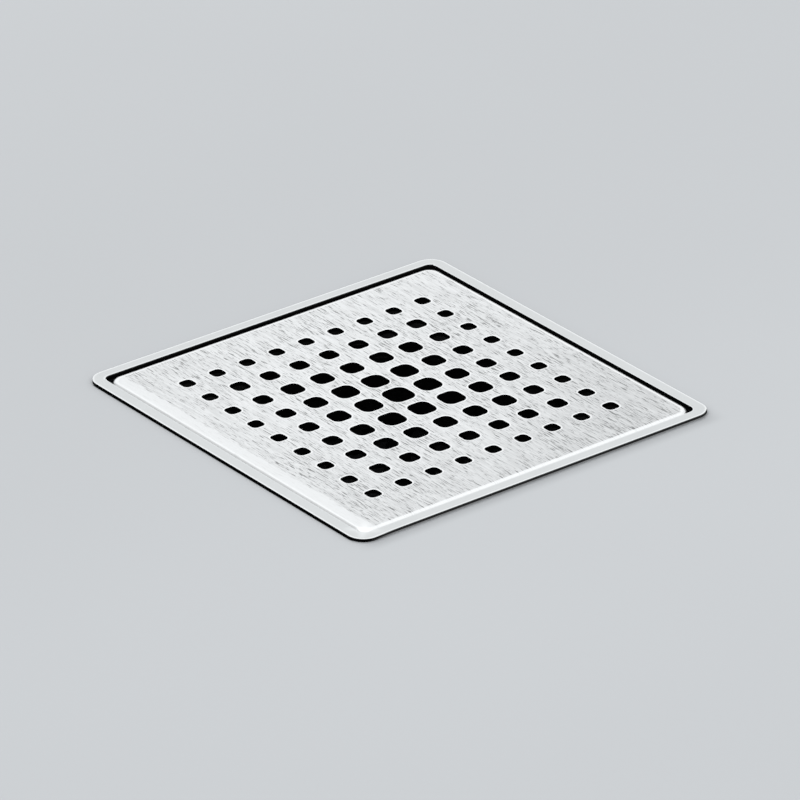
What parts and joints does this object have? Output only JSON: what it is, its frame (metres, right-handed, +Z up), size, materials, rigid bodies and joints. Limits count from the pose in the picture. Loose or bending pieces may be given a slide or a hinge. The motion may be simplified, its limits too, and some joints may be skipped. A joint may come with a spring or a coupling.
{
  "type": "floor drain grate",
  "caption": "Square floor drain: brushed steel grate with rounded-square holes in a thin frame, over an adjustable neck, hair strainer, lift-out odour trap and drain body.",
  "frame": {"origin": "centre of the drain body's underside; finished floor level is 112 mm above it", "axes": "+Z up, +X along the outlet and along the brushed grain of the grate"},
  "size_m": [0.185, 0.16, 0.1129],
  "materials": {
    "grate_steel": "brushed along X, polished hole rims",
    "trim_steel": "fine satin",
    "frame_plastic": "moulded, matt",
    "strainer_plastic": "moulded, matt",
    "pad_rubber": "matt",
    "seal_rubber": "matt",
    "neck_plastic": "moulded, satin",
    "ring_plastic": "moulded, matt",
    "trap_plastic": "moulded, satin",
    "handle_plastic": "moulded, satin",
    "valve_plastic": "moulded, satin",
    "body_plastic": "moulded, matt",
    "spring_steel": "drawn wire",
    "screw_steel": "turned",
    "insert_brass": "turned"
  },
  "bodies": {
    "base": {"body": "body_plastic", "neck_seal": "seal_rubber", "seal_retainer": "ring_plastic", "clamp_gasket": "seal_rubber", "clamp_ring": "ring_plastic", "clamp_screws": "screw_steel", "screw_washers": "screw_steel", "screw_inserts": "insert_brass"},
    "neck": {"neck": "neck_plastic"},
    "frame": {"frame": "frame_plastic", "frame_trim": "trim_steel", "frame_seal": "seal_rubber"},
    "grate": {"grate": "grate_steel", "grate_pads": "pad_rubber"},
    "strainer": {"strainer": "strainer_plastic"},
    "trap": {"trap_insert": "trap_plastic", "trap_seal": "seal_rubber", "trap_handle": "handle_plastic", "trap_cup": "trap_plastic", "valve_spring": "spring_steel"},
    "valve": {"valve_plate": "valve_plastic", "valve_seal": "seal_rubber", "valve_cap": "valve_plastic"}
  },
  "joints": [
    {"name": "neck_height", "type": "slide", "parent": "base", "child": "neck", "axis": [0, 0, 1], "range_m": [0, 0.015]},
    {"name": "frame_turn", "type": "hinge", "parent": "neck", "child": "frame", "pos_m": [0, 0, 0.112], "axis": [0, 0, 1], "continuous": true},
    {"name": "grate_lift", "type": "slide", "parent": "frame", "child": "grate", "axis": [0, 0, 1], "range_m": [0, 0.2]},
    {"name": "strainer_lift", "type": "slide", "parent": "frame", "child": "strainer", "axis": [0, 0, 1], "range_m": [0, 0.16]},
    {"name": "trap_lift", "type": "slide", "parent": "base", "child": "trap", "axis": [0, 0, 1], "range_m": [0, 0.125]},
    {"name": "valve_open", "type": "slide", "parent": "trap", "child": "valve", "axis": [0, 0, -1], "range_m": [0, 0.008], "stiffness_N_per_m": 30, "springref_m": -0.006, "deforming": ["valve_spring"]}
  ],
  "couplings": [
    {"joint": "strainer_lift", "follows": "grate_lift", "ratio": 0.8},
    {"joint": "trap_lift", "follows": "grate_lift", "ratio": 0.625}
  ]
}
